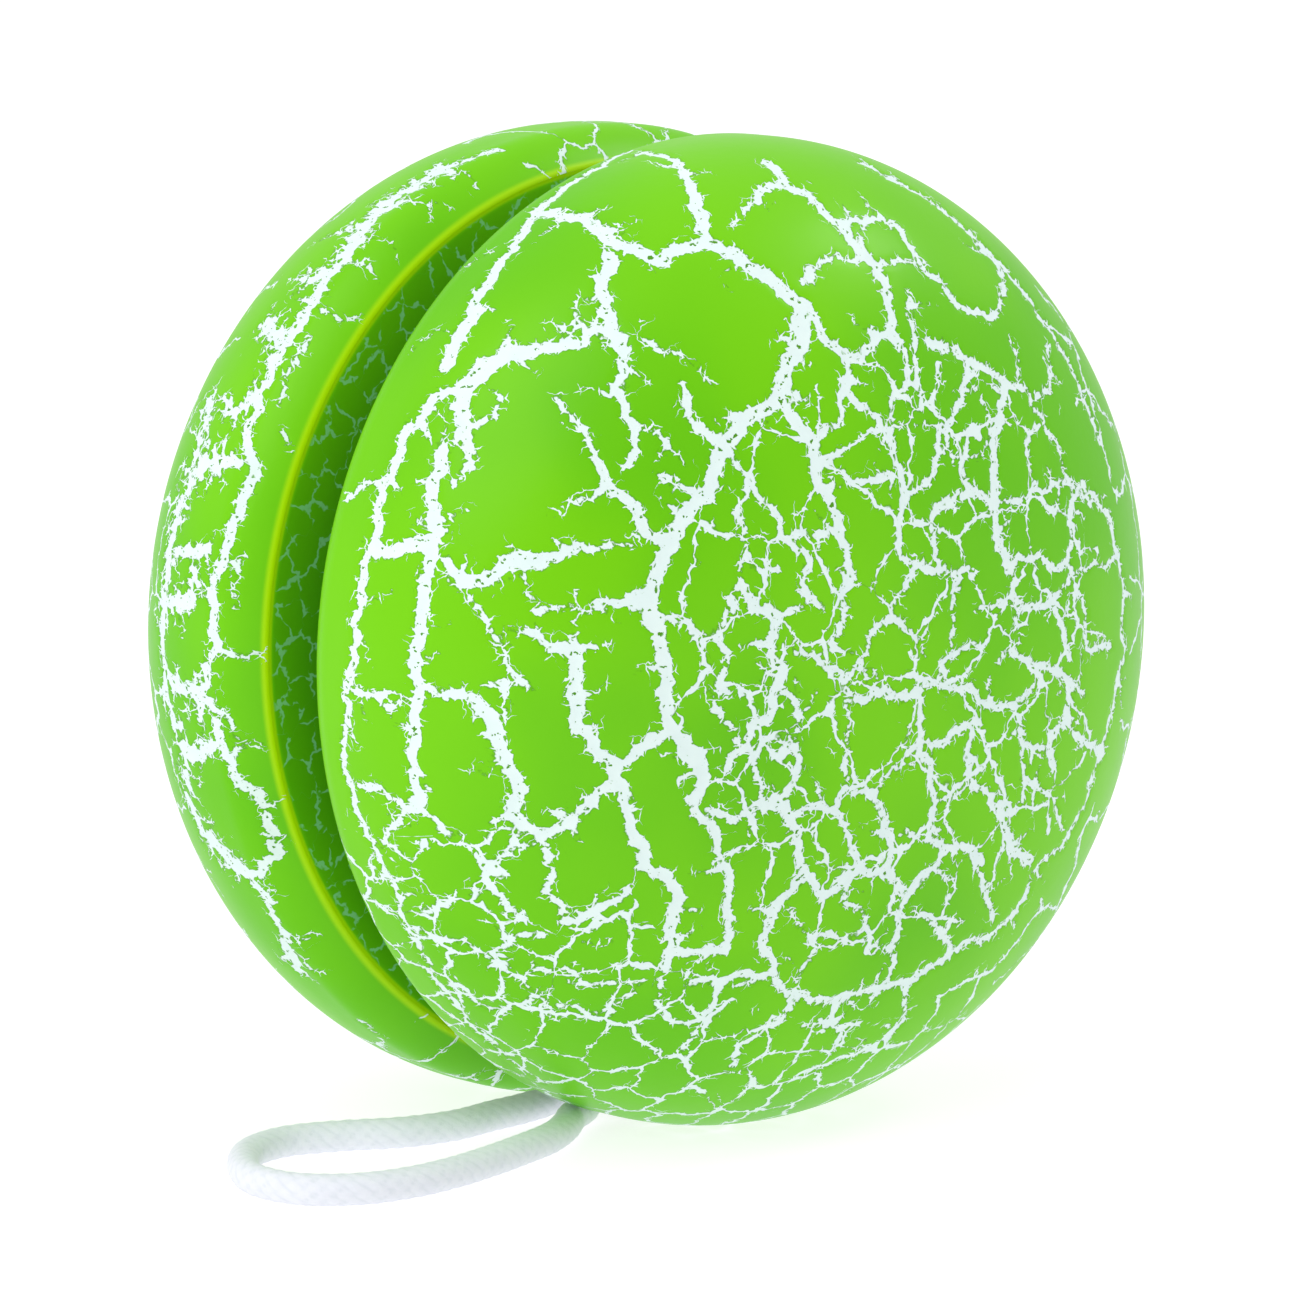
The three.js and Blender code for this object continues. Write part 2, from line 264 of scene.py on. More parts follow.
    ((0.4, 0.5), [(31, 18.4), (34, 17.3), (34.5, 16.2), (33, 15.5)]),
    ((0.3, 0.5), [(24, 14.4), (26.5, 13.4), (29, 12.6)]),
    ((0.6, 0.7), [(55, 7.5), (60, 8.8), (65, 10), (70.5, 10.8), (70.5, 12), (66.5, 12.7), (62, 13.6),
        (60, 15)]),
    ((0.5, 0.6), [(36, 9.2), (42, 9.8), (47, 10.8), (50, 12), (55, 13.4), (57, 14.6)]),
    ((0.4, 0.5), [(50, 12), (45, 12.6), (40, 13.4), (42, 14.6)]),
    ((0.5, 0.6), [(70.5, 12), (75, 12.2), (80, 12.6), (86, 12.7), (91, 12.6), (94, 13.3), (93.5, 15.8)]),
    ((0.4, 0.5), [(75, 12.2), (76, 14), (77, 16), (78, 17)]),
    ((0.6, 0.7), [(74, 7.4), (78, 9), (80, 10), (88, 10.8), (95, 11.3)]),
    ((0.5, 0.5), [(80, 10), (77, 11), (75, 12.2)]),
    ((0.6, 0.8, 0.5), [(92, 6.4), (96, 8.2), (98, 10), (101, 11.8), (104, 13.3)]),
    ((0.6, 0.8), [(101, 11.8), (111, 11.8), (118, 11.2), (122, 12.3)]),
    ((0.6, 0.7), [(111, 11.8), (112.5, 14), (113, 15.8), (112, 17.3)]),
    ((0.5, 0.5), [(113, 7.4), (119, 8.6), (122, 10), (120, 11.2)]),
    # below the pole
    ((0.6, 0.7), [(243, 14), (239, 12.8), (235.5, 11.3), (234, 10), (238, 9), (244, 8.4), (250, 8.4)]),
    ((0.5, 0.6), [(235.5, 11.3), (242.5, 11), (247.5, 10.8), (253, 11)]),
    ((0.9, 0.9), [(235.5, 11.3), (229.5, 10.4), (221.5, 10.7), (217, 11.4), (213, 11.9), (214.3, 13.2),
        (215, 13.9), (213.4, 15), (210, 16)]),
    ((0.8, 0.8), [(213, 11.9), (208.5, 12.2), (204.5, 12.5), (202, 12), (200.5, 11.2), (195.5, 10.7),
        (187, 10.5), (181.5, 11.3), (178.5, 11.8), (172.5, 11.2), (169.5, 10.8), (166, 10)]),
    ((0.6, 0.7), [(229.5, 10.3), (226, 9), (216, 8.4), (207.5, 9.2), (200, 10.1), (196, 10.7)]),
    ((0.6, 0.5), [(216, 8.4), (221, 7.2), (229, 6), (240, 5.4), (252, 4.8)]),
    ((0.6, 0.9), [(213.5, 7.4), (204, 6.8), (195, 7.5), (191.5, 8.4), (187, 9.1), (187, 9.9),
        (188, 10.6)]),
    ((0.5, 0.5), [(204, 6.8), (200, 5.8), (190, 5.2), (181, 4.4)]),
    ((0.7, 0.8), [(178, 4.4), (172.5, 5), (170.5, 6), (169.5, 7), (170.5, 8.2), (170, 8.9), (165.5, 9.9),
        (162.5, 10.3), (156, 11), (152, 12)]),
    ((0.5, 0.4), [(170, 8.9), (178, 8.8), (185, 8.8)]),
    ((0.8, 0.6), [(178.5, 11.8), (179.5, 12.6), (178.8, 13.3), (179.3, 14.6), (179, 16), (178.5, 17)]),
    ((0.5, 0.6), [(200.5, 11.3), (198.5, 12.4), (190.5, 13), (187.8, 13.8), (184, 14.8), (180, 14.5)]),
    ((0.4, 0.6), [(211, 13.7), (206, 13.9), (202.5, 14.4), (197, 14.3), (193, 14.4), (189.5, 13.8)]),
    ((0.5, 0.4), [(199, 15.2), (199.5, 16.4), (199, 17.5)]),
    ((0.5, 0.7), [(175.5, 12.8), (171.5, 13), (168.5, 14), (166.3, 15), (164, 15.8), (163, 16.6)]),
    ((0.5, 0.9, 0.9), [(134, 4.9), (142, 5.8), (148, 7.6), (144.5, 8.9), (142, 10), (143.5, 11.3),
        (144, 12), (141.5, 13.7), (139, 15)]),
    ((0.5, 0.5), [(142, 10), (139, 11.2), (135.5, 11.2), (131, 10.8), (125, 9.4), (120, 8.4)]),
    ((0.5, 0.5), [(148, 7.6), (155, 7.6), (163.5, 7.3), (169, 7.3)]),
    ((0.5, 0.5), [(131, 10.8), (128.5, 11.8), (128, 13.3), (128, 14.4), (129, 16)]),
    ((0.5, 0.6), [(156, 11), (155.5, 12.3), (153.8, 13.3), (152.6, 14.5), (152, 16.3)]),
    ((0.4, 0.4), [(169.5, 10.8), (166.5, 12), (163, 12)]),
    # between the lower long crack and the bottom
    ((0.8, 0.5), [(188.5, 17.6), (187.5, 19), (184, 19.7), (183.5, 21)]),
    ((0.4, 0.4), [(187.5, 19), (192.5, 19.4)]),
    ((0.6, 0.5), [(174, 17.2), (172, 18.4), (171.5, 19.8), (174, 20.8), (180, 21.8), (187, 22.6)]),
    ((0.7, 0.8), [(217, 19.5), (213, 18.6), (210, 17.6), (206, 17.3)]),
    ((0.5, 0.6), [(197, 17.9), (198, 18.8), (198, 20), (201, 21.2), (199, 22.6)]),
    ((0.5, 0.6), [(213, 18.6), (210, 20), (209, 21.4), (208, 23)]),
]
REAR_CRACKS = [
    # the chain of cracks near the rim
    ((0.6, 1.0, 0.9, 0.8), [(345, 33.6), (337, 32.7), (334, 32.4), (329, 32.1), (325, 32.3),
        (321.5, 32.8), (319, 33), (315.5, 32.9), (313, 33), (309.3, 33.4), (307, 32.8), (304, 33.1),
        (300.8, 33.1), (298, 33.1), (294.7, 33.5), (291.7, 34.1), (288, 34.2), (285, 33.8), (281, 33.9),
        (278, 33.2), (274, 33.4), (271, 33.6), (267.7, 33.2), (265.2, 32.2)]),
    ((0.5, 0.3), [(308.5, 34), (305.5, 34.2), (302.5, 34.2), (300, 34.3)]),
    ((0.5, 0.2), [(282, 34.6), (278, 34.5), (275.5, 34.7)]),
    ((0.7, 0.4), [(265.5, 33), (263, 34), (260.5, 34.6)]),
    ((0.8, 0.8), [(262.5, 33.3), (259.5, 33.4), (255.7, 34.1), (253.5, 35), (251.4, 35.1), (248.3, 35),
        (245.6, 35), (243.5, 33.7), (243.8, 32.1), (245.8, 30.8), (248.6, 29.8)]),
    ((0.9, 0.6), [(243, 33.2), (239.8, 33.4), (235.5, 33.2), (232, 32.7), (228, 32)]),
    # branches towards the lip
    ((0.6, 0.2), [(327.5, 31.6), (330, 33), (332, 34.4), (333, 35.2)]),
    ((0.3, 0.2), [(332, 34.4), (330.5, 35.2)]),
    ((0.5, 0.2), [(335, 32.4), (338.5, 33.8), (337.5, 35)]),
    ((0.5, 0.2), [(319.5, 33), (320.5, 34.5), (319.5, 35.5)]),
    ((0.5, 0.2), [(313, 33), (312.5, 34), (313, 35), (314, 36)]),
    ((0.3, 0.1), [(324.5, 34.6), (323, 35.3)]),
    ((0.4, 0.2), [(297, 35), (295, 36)]),
    ((0.6, 0.3), [(270.5, 34), (270, 35.1), (270.2, 36)]),
    ((0.5, 0.3), [(258.5, 34), (259.6, 34.7), (259.8, 35.7)]),
    ((0.5, 0.3), [(251.4, 35.2), (252, 36)]),
    ((0.4, 0.3), [(245.8, 35), (246.8, 36)]),
    ((0.6, 0.3), [(235.5, 33.2), (234, 34), (233.5, 35)]),
    ((0.4, 0.2), [(229, 33.2), (227.5, 34)]),
    ((0.5, 0.3), [(219, 33.5), (216, 33.5)]),
    ((0.4, 0.2), [(202, 33.7), (201, 34.8)]),
    # branches towards the dome
    ((0.6, 0.5), [(307, 32.6), (308.5, 31.4), (310, 30.2)]),
    ((0.3, 0.3), [(308.5, 31.4), (311, 31)]),
    ((0.4, 0.3), [(317, 32.6), (316, 31.4), (317, 30.4)]),
    ((0.4, 0.3), [(325, 32), (324, 30.8)]),
    ((0.5, 0.5), [(299, 30.4), (298.3, 31.4), (300, 32.9)]),
    ((0.7, 0.7), [(290.5, 30.2), (292.3, 31.8), (292, 33.4)]),
    ((0.5, 0.5), [(281.5, 30), (282.2, 31.6), (281.6, 32.4)]),
    ((0.4, 0.5), [(279.5, 31.4), (277.7, 32.3), (276.5, 33.2)]),
    ((0.5, 0.5), [(275.7, 29.8), (275, 31), (275.6, 31.8)]),
    ((0.5, 0.5), [(266.8, 29.5), (266, 30.8), (265.4, 32)]),
    ((0.8, 0.7), [(257.8, 30.3), (258, 31.6), (259.5, 33.2)]),
    ((0.5, 0.4), [(265, 32.4), (262, 32.2)]),
    ((0.5, 0.4), [(300, 28.6), (297, 29.2), (294, 29.3), (290.5, 30), (287, 29.4), (284, 29), (281, 29),
        (276, 28.8), (272, 28.8), (266, 29), (261, 29.4), (257.8, 30.3), (254, 29.9), (250.5, 29.6),
        (248.6, 29.8)]),
]

# Where there are fine cracks between the main ones: (bearing from, bearing to, reach from, reach to,
# kind). The first row that holds a spot counts.
NO_CELLS = 0
WIDE_CELLS = 1
SMALL_CELLS = 2
FRONT_CELLS = [
    (236, 252, 24, 40, SMALL_CELLS),
    (236, 343, 15, 40, NO_CELLS),
    (343, 360, 27, 40, NO_CELLS),
    (0, 40, 26.5, 40, NO_CELLS),
    (40, 150, 18.3, 40, WIDE_CELLS),
    (150, 236, 19, 40, SMALL_CELLS),
    (0, 360, 0, 15, WIDE_CELLS),
    (0, 360, 0, 40, NO_CELLS),
]
REAR_CELLS = [
    (215, 345, 28.8, 40, NO_CELLS),
    (0, 360, 24, 40, WIDE_CELLS),
    (0, 360, 0, 40, SMALL_CELLS),
]
REAR_MAP_SHIFT = 100  # moves the rear half's flat map, so that its cracks differ from the front's

# How cracks are drawn. Lengths are in millimetres.
STEP = 0.2  # between the points of a crack
MAIN_HALF = 0.3  # half of a main crack's width, less what its torn edges add
LEAST_HALF = 0.03  # added to every main crack's half width
WIDTH_SPREAD = (0.8, 1.15)
STRAY = 0.3  # how far a main crack strays from its route
STRAY_WINDOW = 5  # points over which the straying is evened out
FARTHEST = 2.0  # distances from a crack are worked out up to this
SPROUT_COUNT = 460
SPROUT_LENGTHS = (0.7, 2.2)
SPROUT_HALF_WIDTHS = (0.18, 0.27)
SPROUT_TIP = 0.04
SPROUT_TURNING = 0.14
SPROUT_FROM = -0.04  # side cracks start where the gap is below this
POLE_ROWS = 6  # no side crack starts in this many rows at the pole, or at the lip
LIP_ROWS = 14
FLECK_COUNT = 60
FLECK_REACHES = (2, 33)
FLECK_CLEARANCE = 0.5
FLECK_LENGTH = 0.6
FLECK_TURNING = 0.3
FLECK_HALF_WIDTHS = (0.08, 0.02)

# The fine structure of the cracks, worked out in the paint. Lengths are in millimetres.
WIDE_CELL = 4.3
SMALL_CELL = 2.9
FINE_HALF_WIDTHS = (0.05, 0.17)
WALL_CELL = 1.6
WALL_HALF_WIDTH = 0.11
WOBBLE = 0.5  # how far a torn edge swings, from side to side
FINE_WOBBLE = 0.45  # the share of that swing on the fine cracks
SPUR_CELL = 1.7  # the web along which torn edges have split further
SPUR_POWER = 0.7
SPUR_SLOPE = 4.0
LONGEST_SPUR = 0.5
NICK_CELL = 0.9
NICK_SLOPE = 2.6
NICK_DEPTH = 0.1
HELD_ON = 0.05  # how far the paint reaches in between spurs and nicks
TORN_SHARPNESS = 0.02
WEB_RANDOMNESS = 0.9

# Colours, as red, green and blue on a screen
BRIGHT_GREEN = (119, 208, 10)
DEEP_GREEN = (104, 196, 14)
EDGE_GREEN = (62, 118, 34)
# the yellow line at the lip: partly thinner paint, partly a painted highlight on the edge
LIP_THIN_PAINT_AND_HIGHLIGHT_GREEN = (180, 232, 0)
# painted shade: the darker green given to the inner face of the groove
WALL_SHADE_GREEN = (60, 146, 8)
WALL_CRACK = (150, 220, 175)
BASE_COAT = (222, 241, 240)
LIGHT_BASE_COAT = (236, 251, 247)
COTTON = (234, 237, 248)
LIGHT_COTTON = (244, 246, 253)
# painted shade between the strands of the braid
COTTON_PAINTED_SHADE = (204, 213, 222)
WOOD = (196, 158, 108)
LIGHT_WOOD = (226, 196, 150)
FLOOR_GREY = (148, 148, 148)
LIGHT_FLOOR_GREY = (152, 152, 152)
WHITE = (1, 1, 1, 1)

# The camera and the lights. Azimuth 0 is in front and 90 is on the +X side, in degrees.
CAMERA_AZIMUTH = -41
CAMERA_ELEVATION = 8.3
CAMERA_DISTANCE = 16 * OUTER_RADIUS
CAMERA_AIM = Vector((-0.0001, 0.0, -0.0016))
CAMERA_LENS = 217.4
SENSOR_WIDTH = 36
CLIP_START = 0.01
LIGHT_DISTANCE = 0.9
LIGHTS = [  # name, azimuth, elevation, size in metres, watts
    ("left_light", -70, 48, 0.9, 4.4),
    ("top_light", 68, 44, 0.25, 1.5),
    ("low_light", 70, -8, 0.2, 1.4),
]
FLOOR_REACH = 3.0
FLOOR_GLOW = 0.8
DIM_AZIMUTH = -15  # the empty side of the room
DIM_ELEVATION = 15
DIMMING = {"From Min": 0.15, "From Max": 0.95, "To Min": 0.8, "To Max": 0.35}


# Surface of a half


def half_outline():
    """Reach, radius and station, in millimetres, at even steps of reach from the pole to the lip."""
    angle = np.linspace(math.pi / 2, 0, DOME_SAMPLES)
    dome_start = LAND_STATION + LAND_WIDTH
    dome_radius = OUTER_RADIUS * np.cos(angle) ** (2 / DOME_ACROSS_POWER)
    dome_station = dome_start + (POLE_STATION - dome_start) * np.sin(angle) ** (2 / DOME_ALONG_POWER)
    from_land = np.linspace(0, 1, RIM_SAMPLES)
    rim_radius = OUTER_RADIUS - (OUTER_RADIUS - LIP_RADIUS) * from_land**RIM_POWER
    rim_station = LAND_STATION - (LAND_STATION - HALF_GAP) * from_land
    radius = np.concatenate([dome_radius, rim_radius]) / MM
    station = np.concatenate([dome_station, rim_station]) / MM
    reach = np.concatenate([[0], np.cumsum(np.hypot(np.diff(radius), np.diff(station)))])
    even = np.linspace(0, reach[-1], RINGS)
    return even, np.interp(even, reach, radius), np.interp(even, reach, station)


REACH, RADIUS, STATION = half_outline()
BEARING = np.arange(SEGMENTS) * FULL_TURN / SEGMENTS
RING_STEP = REACH[1]


def smooth_step(values, low, high):
    fraction = np.clip((values - low) / (high - low), 0, 1)
    return fraction * fraction * (3 - 2 * fraction)


def ring_of_points(radius, station):
    """A ring round the spin axis, with a point at each bearing."""
    ring = [radius * np.sin(BEARING), np.full(SEGMENTS, station), radius * np.cos(BEARING)]
    return np.stack(ring, axis=-1)


class CrackedSurface:
    """The painted outside of a half, and how far each of its vertices is from a crack.

    A spot on it is a complex number: its size is the reach and its angle is the bearing."""

    def __init__(self, side, cells, seed):
        self.random = np.random.default_rng(seed)
        self.side = side
        rings = [ring_of_points(radius, side * station) for radius, station in zip(RADIUS, STATION)]
        self.points = np.array(rings)
        self.gap = np.full((RINGS, SEGMENTS), FARTHEST)
        self.cells = np.zeros((RINGS, SEGMENTS))
        reach, bearing = np.meshgrid(REACH, BEARING / DEGREE, indexing="ij")
        for bearing_from, bearing_to, reach_from, reach_to, kind in reversed(cells):
            inside = (bearing >= bearing_from) & (bearing <= bearing_to)
            inside &= (reach >= reach_from) & (reach <= reach_to)
            self.cells[inside] = kind

    def index(self, spot):
        """The vertex nearest to a spot."""
        ring = min(int(round(abs(spot) / RING_STEP)), RINGS - 1)
        segment = int(round(np.angle(spot) / BEARING[1])) % SEGMENTS
        return ring, segment

    def point(self, spot):
        """The place of a spot, in millimetres."""
        reach = abs(spot)
        bearing = np.angle(spot)
        radius = np.interp(reach, REACH, RADIUS)
        station = np.interp(reach, REACH, STATION)
        return np.array([radius * math.sin(bearing), self.side * station, radius * math.cos(bearing)])

    def press(self, spot, half_width):
        """Opens one point of a crack: lowers the gap round it."""
        ring, segment = self.index(spot)
        rings_near = int(FARTHEST / RING_STEP) + 1
        arc = max(RADIUS[ring], 0.01) * BEARING[1]
        segments_near = min(int(FARTHEST / arc) + 2, SEGMENTS // 2)
        rows = np.arange(max(ring - rings_near, 0), min(ring + rings_near + 1, RINGS))
        columns = np.arange(segment - segments_near, segment + segments_near) % SEGMENTS
        window = np.ix_(rows, columns)
        away = self.points[window] - self.point(spot)
        distance = np.sqrt((away * away).sum(axis=-1))
        self.gap[window] = np.minimum(self.gap[window], distance - half_width)

    def draw(self, spots, half_widths):
        for spot, half_width in zip(spots, half_widths):
            self.press(spot, half_width)

    def draw_route(self, widths, route):
        """A main crack along its listed points, wandering a little to both sides."""
        corners = np.array([reach * np.exp(1j * bearing * DEGREE) for bearing, reach in route])
        along = np.concatenate([[0], np.cumsum(np.abs(np.diff(corners)))])
        steps = np.linspace(0, along[-1], max(int(along[-1] / STEP), 3))
        spots = np.interp(steps, along, corners.real) + 1j * np.interp(steps, along, corners.imag)
        swings = self.random.normal(size=len(steps) + STRAY_WINDOW - 1)
        stray = np.convolve(swings, np.ones(STRAY_WINDOW) / STRAY_WINDOW, mode="valid")
        onward = np.gradient(spots)
        spots = spots + 1j * onward / np.abs(onward) * stray * STRAY
        spread_widths = np.interp(steps, np.linspace(0, along[-1], len(widths)), widths)
        half_widths = spread_widths * MAIN_HALF + LEAST_HALF
        half_widths = half_widths * self.random.uniform(*WIDTH_SPREAD, size=len(steps))
        self.draw(spots, half_widths)

    def walk(self, spot, heading, length, turning):
        """Spots along a side crack. The heading is an angle from the direction away from the pole."""
        spots = [spot]
        for _ in range(max(int(length / STEP), 3)):
            reach = max(abs(spot), RING_STEP)
            stretch = reach / np.interp(reach, REACH, RADIUS)
            bearing = np.angle(spot)
            step = complex(math.cos(heading), math.sin(heading) * stretch)
            spot = spot + STEP * step * np.exp(1j * bearing)
            heading -= math.remainder(np.angle(spot) - bearing, FULL_TURN)
            heading += self.random.normal() * turning
            spots.append(spot)
        return np.array(spots)

    def sprout(self):
        """Short side cracks that leave the others and thin out to nothing."""
        rings, segments = np.nonzero(self.gap[POLE_ROWS:-LIP_ROWS] < SPROUT_FROM)
        rings = rings + POLE_ROWS
        share = RADIUS[rings] / RADIUS[rings].sum()
        for pick in self.random.choice(len(rings), size=SPROUT_COUNT, p=share):
            spot = REACH[rings[pick]] * np.exp(1j * BEARING[segments[pick]])
            heading = self.random.uniform(0, FULL_TURN)
            spots = self.walk(spot, heading, self.random.uniform(*SPROUT_LENGTHS), SPROUT_TURNING)
            widest = self.random.uniform(*SPROUT_HALF_WIDTHS)
            self.draw(spots, np.linspace(widest, SPROUT_TIP, len(spots)))

    def scatter(self):
        """Tiny flecks in the middle of the plates."""
        for _ in range(FLECK_COUNT):
            reach = self.random.uniform(*FLECK_REACHES)
            spot = reach * np.exp(1j * self.random.uniform(0, FULL_TURN))
            if self.gap[self.index(spot)] > FLECK_CLEARANCE:
                heading = self.random.uniform(0, FULL_TURN)
                spots = self.walk(spot, heading, FLECK_LENGTH, FLECK_TURNING)
                self.draw(spots, np.linspace(*FLECK_HALF_WIDTHS, len(spots)))


def crack_pattern(side, routes, cells, seed):
    surface = CrackedSurface(side, cells, seed)
    for widths, route in routes:
        surface.draw_route(widths, route)
    surface.sprout()
    surface.scatter()
    return surface


# Making meshes


def lengths_along(line):
    """Distance of each point of a line from its start."""
    steps = np.linalg.norm(np.diff(line, axis=0), axis=1)
    return np.concatenate([[0], np.cumsum(steps)])


def object_from(name, vertices, faces, smooth=True):
    mesh = bpy.data.meshes.new(name)
    mesh.from_pydata([tuple(v) for v in vertices], [], faces)
    mesh.validate()
    if smooth:
        mesh.shade_smooth()
    obj = bpy.data.objects.new(name, mesh)
    bpy.context.scene.collection.objects.link(obj)
    return obj


def add_values(obj, name, values):
    """A number for each vertex, for the material to read."""
    attribute = obj.data.attributes.new(name, "FLOAT", "POINT")
    attribute.data.foreach_set("value", np.asarray(values, dtype=np.float32))


def torn_outside(surface):
    """The outside of a half, in metres. Where the paint is torn it lies deeper."""
    away = surface.points - np.array([0, surface.side * SINK_TOWARDS, 0])
    away /= np.linalg.norm(away, axis=-1, keepdims=True)
    depth = PAINT_THICKNESS / MM * (1 - smooth_step(surface.gap, *TORN_EDGE))
    return (surface.points - away * depth[..., None]) * MM


def inner_outline():
    """Radius and station, in metres, from just inside the lip to the end of the blind bore."""
    outline = [
        (LIP_RADIUS - LIP_BREAK[0], HALF_GAP + LIP_BREAK[1]),
        (LIP_RADIUS - LIP_ROUNDING, HALF_GAP),
    ]
    for radius in np.linspace(LIP_RADIUS - EDGE_DISTANCE, BORE_RADIUS, FACE_RINGS):
        outline.append((radius, HALF_GAP))
    for depth in np.linspace(EDGE_DISTANCE, BORE_DEPTH, BORE_RINGS):
        outline.append((BORE_RADIUS, HALF_GAP + depth))
    return np.array(outline)


def half_faces(ring_count, side):
    """Faces from the pole over all rings to the tip of the bore, turned outwards."""
    last = 1 + ring_count * SEGMENTS
    end = last - SEGMENTS
    faces = []
    for segment in range(SEGMENTS):
        following = (segment + 1) % SEGMENTS
        faces.append((0, 1 + segment, 1 + following))
        for here in range(1, end, SEGMENTS):
            there = here + SEGMENTS
            faces.append((here + segment, there + segment, there + following, here + following))
        faces.append((end + segment, last, end + following))
    return [face[::-1] for face in faces] if side > 0 else faces


def from_pole_to_tip(pole, rings, tip):
    """The values of all vertices of a half, in order."""
    return np.concatenate([[pole], np.ravel(rings), [tip]])


def make_half(name, side, surface):
    """One turned half: the cracked outside, the flat inner face and the blind bore, all one skin."""
    outside = torn_outside(surface)
    inner = inner_outline()
    inner_rings = [ring_of_points(radius, side * station) for radius, station in inner]
    tip = np.array([[0, side * (HALF_GAP + BORE_DEPTH + DRILL_POINT_DEPTH), 0]])
    vertices = np.concatenate([outside[0, :1], outside[1:].reshape(-1, 3), *inner_rings, tip])
    half = object_from(name, vertices, half_faces(RINGS - 1 + len(inner), side))

    gaps = np.concatenate([surface.gap[1:], np.full((len(inner), SEGMENTS), FARTHEST)])
    add_values(half, "crack_gap", from_pole_to_tip(surface.gap[0, 0], gaps, FARTHEST))
    cells = np.concatenate([surface.cells[1:], np.full((len(inner), SEGMENTS), NO_CELLS)])
    add_values(half, "cells", from_pole_to_tip(surface.cells[0, 0], cells, NO_CELLS))

    travelled = lengths_along(np.concatenate([[(LIP_RADIUS, HALF_GAP)], inner]))[1:] / MM
    from_lip = np.concatenate([REACH[-1] - REACH[1:], -travelled])
    rings_from_lip = np.repeat(from_lip, SEGMENTS)
    add_values(half, "from_lip", from_pole_to_tip(REACH[-1], rings_from_lip, from_lip[-1]))

    map_radius = np.concatenate([REACH[1:], inner[:, 0] / MM])
    shift = REAR_MAP_SHIFT if side > 0 else 0
    unrolled_x = from_pole_to_tip(0, np.outer(map_radius, np.sin(BEARING)), 0) + shift
    unrolled_z = from_pole_to_tip(0, np.outer(map_radius, np.cos(BEARING)), 0)
    add_values(half, "unrolled_x", unrolled_x)
    add_values(half, "unrolled_z", unrolled_z)
    return half


# Materials


def colour(screen):
    """A linear colour from screen values between 0 and 255."""
    shares = [value / 255 for value in screen]
    linear = [((s + 0.055) / 1.055) ** 2.4 if s > 0.04 else s / 12.92 for s in shares]
    return (*linear, 1)


class Graph:
    """A material's nodes, made and linked in one call each."""

    def __init__(self, name):
        self.material = bpy.data.materials.new(name)
        self.material.use_nodes = True
        self.tree = self.material.node_tree
        self.shader = self.tree.nodes["Principled BSDF"]

    def node(self, kind, settings=None, **inputs):
        node = self.tree.nodes.new("ShaderNode" + kind)
        for key, value in (settings or {}).items():
            setattr(node, key, value)
        for key, value in inputs.items():
            self.feed(node, key.replace("_", " "), value)
        return node

    def feed(self, node, socket, value):
        if isinstance(value, bpy.types.NodeSocket):
            self.tree.links.new(value, node.inputs[socket])
        else:
            node.inputs[socket].default_value = value

    def math(self, operation, *values):
        node = self.node("Math", {"operation": operation})
        for socket, value in enumerate(values):
            self.feed(node, socket, value)
        return node.outputs[0]

    def ramp(self, value, low, high, start=0.0, end=1.0):
        """Turns values from low to high smoothly into start to end."""
        node = self.node("MapRange", {"interpolation_type": "SMOOTHSTEP"}, Value=value)
        for socket, number in zip(("From Min", "From Max", "To Min", "To Max"), (low, high, start, end)):
            node.inputs[socket].default_value = number
        return node.outputs["Result"]

    def mix(self, factor, first, second):
        node = self.node("Mix", {"data_type": "RGBA"})
        for socket, value in ((0, factor), (6, first), (7, second)):
            self.feed(node, socket, value)
        return node.outputs[2]

    def noise(self, where, scale, detail=2.0, roughness=0.5):
        node = self.node("TexNoise", Vector=where, Scale=scale, Detail=detail, Roughness=roughness)
        return node.outputs["Fac"]

    def values(self, name):
        return self.node("Attribute", {"attribute_name": name}).outputs["Fac"]

    def scaled(self, vector, factor):
        node = self.node("VectorMath", {"operation": "SCALE"}, Vector=vector, Scale=factor)
        return node.outputs["Vector"]

    def millimetres(self):
        """Object coordinates in millimetres."""
        return self.scaled(self.node("TexCoord").outputs["Object"], 1 / MM)

    def bump(self, height, strength, distance):
        return self.node("Bump", Height=height, Strength=strength, Distance=distance).outputs["Normal"]

    def finish(self, **inputs):
        for key, value in inputs.items():
            self.feed(self.shader, key.replace("_", " "), value)
        return self.material


def crack_web(graph, place, cell, bend_scale, bend):
    """Distance in millimetres to the nearest line of a jagged web with cells of the given size."""
    swirl = graph.node("TexNoise", Vector=place, Scale=bend_scale, Detail=2.0, Roughness=0.45)
    bent = graph.node("VectorMath", {"operation": "ADD"})
    graph.feed(bent, 0, place)
    graph.feed(bent, 1, graph.scaled(swirl.outputs["Color"], bend))
    settings = {"feature": "DISTANCE_TO_EDGE", "voronoi_dimensions": "2D"}
    sizes = {"Scale": 1 / cell, "Randomness": WEB_RANDOMNESS}
    cells = graph.node("TexVoronoi", settings, Vector=bent.outputs[0], **sizes)
    return graph.math("MULTIPLY", cells.outputs["Distance"], cell)


def fine_cracks(graph, unrolled):
    """How far a place is outside the fine cracks, in millimetres. Inside them it is below 0."""
    kind = graph.values("cells")
    half_width = graph.ramp(graph.noise(unrolled, 0.35, 2.0, 0.6), 0.3, 0.6, *FINE_HALF_WIDTHS)
    wide = crack_web(graph, unrolled, WIDE_CELL, 0.8, 1.5)
    small = crack_web(graph, unrolled, SMALL_CELL, 0.9, 1.3)
    wide = graph.math("ADD", wide, graph.ramp(kind, WIDE_CELLS - 0.5, WIDE_CELLS, 1.0, 0.0))
    wide = graph.math("ADD", wide, graph.ramp(kind, WIDE_CELLS, WIDE_CELLS + 0.5, 0.0, 1.0))
    small = graph.math("ADD", small, graph.ramp(kind, SMALL_CELLS - 0.5, SMALL_CELLS, 1.0, 0.0))
    return graph.math("SUBTRACT", graph.math("MINIMUM", wide, small), half_width)


